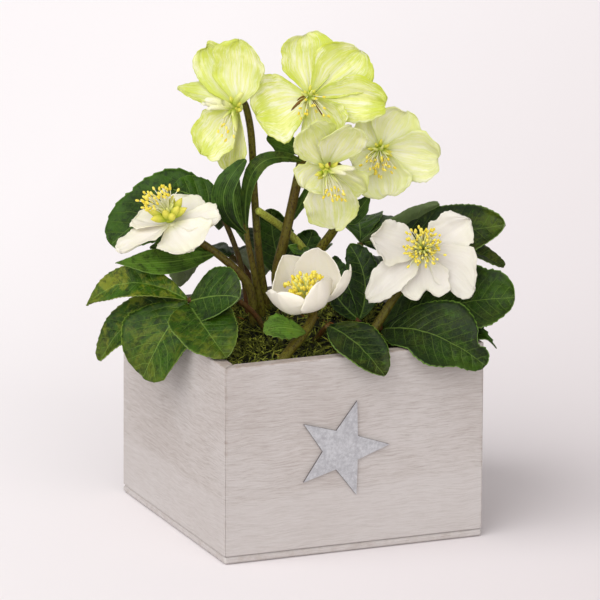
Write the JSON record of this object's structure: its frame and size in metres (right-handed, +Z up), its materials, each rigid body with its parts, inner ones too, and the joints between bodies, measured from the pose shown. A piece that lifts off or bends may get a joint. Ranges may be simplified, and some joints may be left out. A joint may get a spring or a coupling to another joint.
{
  "type": "hellebore plant",
  "caption": "Hellebore with pale green and white blooms and toothed leaves, growing in moss in a square whitewashed wooden box with a zinc star on its front.",
  "frame": {"origin": "centre of the box's underside", "axes": "+Z up, the board with the star faces -Y, +X to the right of the star's board as one looks at it"},
  "size_m": [0.2413, 0.2132, 0.2889],
  "materials": {
    "whitewashed_wood": "rough sawn boards with a thin matt whitewash, the grain showing through",
    "zinc": "dull mottled zinc sheet",
    "soil": "damp dark compost",
    "moss": "matted dark green moss with lighter tips",
    "leaf_green": "leathery leaf, half glossy, with lighter veins",
    "stalk_olive": "smooth olive stem, finely speckled",
    "sepal_green": "soft matt petal, pale yellow-green",
    "sepal_white": "soft matt petal, creamy white",
    "stamen_yellow": "matt pollen yellow"
  },
  "bodies": {
    "root": {"board_front": "whitewashed_wood", "board_right": "whitewashed_wood", "board_back": "whitewashed_wood", "board_left": "whitewashed_wood", "base_board": "whitewashed_wood", "star": "zinc", "soil": "soil", "moss_mat": "moss", "leaf_front_left": "leaf_green", "leaf_back_left": "leaf_green", "leaf_back_middle": "leaf_green", "leaf_back_right": "leaf_green", "leaf_right": "leaf_green", "leaf_front": "leaf_green", "leaf_inner": "leaf_green", "leaf_far_left": "leaf_green", "leaf_far_right": "leaf_green", "stalk_green_left": "stalk_olive", "stalk_leafy": "stalk_olive", "stalk_green_top": "stalk_olive", "stalk_green_pair": "stalk_olive", "stalk_white_left": "stalk_olive", "stalk_white_cup": "stalk_olive", "stalk_white_right": "stalk_olive", "young_shoot": "stalk_olive", "flower_green_left_sepals": "sepal_green", "flower_green_left_centre": "stamen_yellow", "flower_green_top_sepals": "sepal_green", "flower_green_top_centre": "stamen_yellow", "flower_green_middle_sepals": "sepal_green", "flower_green_middle_centre": "stamen_yellow", "flower_green_right_sepals": "sepal_green", "flower_green_right_centre": "stamen_yellow", "flower_white_left_sepals": "sepal_white", "flower_white_left_centre": "stamen_yellow", "flower_white_cup_sepals": "sepal_white", "flower_white_cup_centre": "stamen_yellow", "flower_white_right_sepals": "sepal_white", "flower_white_right_centre": "stamen_yellow"}
  },
  "joints": []
}
